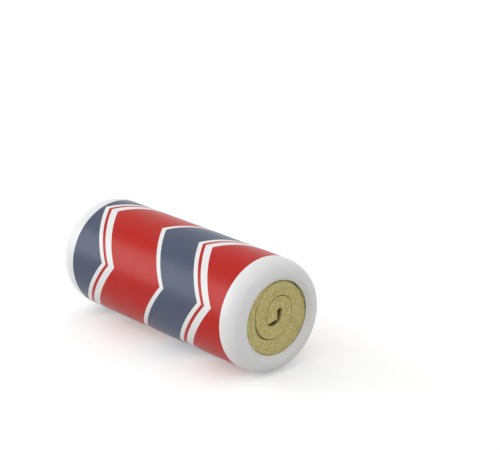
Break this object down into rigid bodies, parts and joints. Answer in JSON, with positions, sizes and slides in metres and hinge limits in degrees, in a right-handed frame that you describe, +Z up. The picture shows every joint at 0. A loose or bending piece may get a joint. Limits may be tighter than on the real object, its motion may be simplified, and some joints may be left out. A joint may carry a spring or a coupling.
{
  "type": "insulation roll",
  "caption": "Stone-wool mat wound into a tight roll and packed in a printed film sleeve, with a rounded film collar round the open end where the turns show",
  "frame": {"origin": "on the floor, under the middle of the lying roll", "axes": "+X along the roll towards the end that the picture shows, +Y across it, +Z up"},
  "size_m": [1.038, 0.43, 0.4298],
  "materials": {
    "stone_wool": "bare olive-yellow stone wool, matt and fibrous",
    "packing_film": "white polyethylene shrink film, satin, printed in red and slate grey"
  },
  "bodies": {
    "root": {"wool_mat": "stone_wool", "film_wrap": "packing_film"}
  },
  "joints": []
}
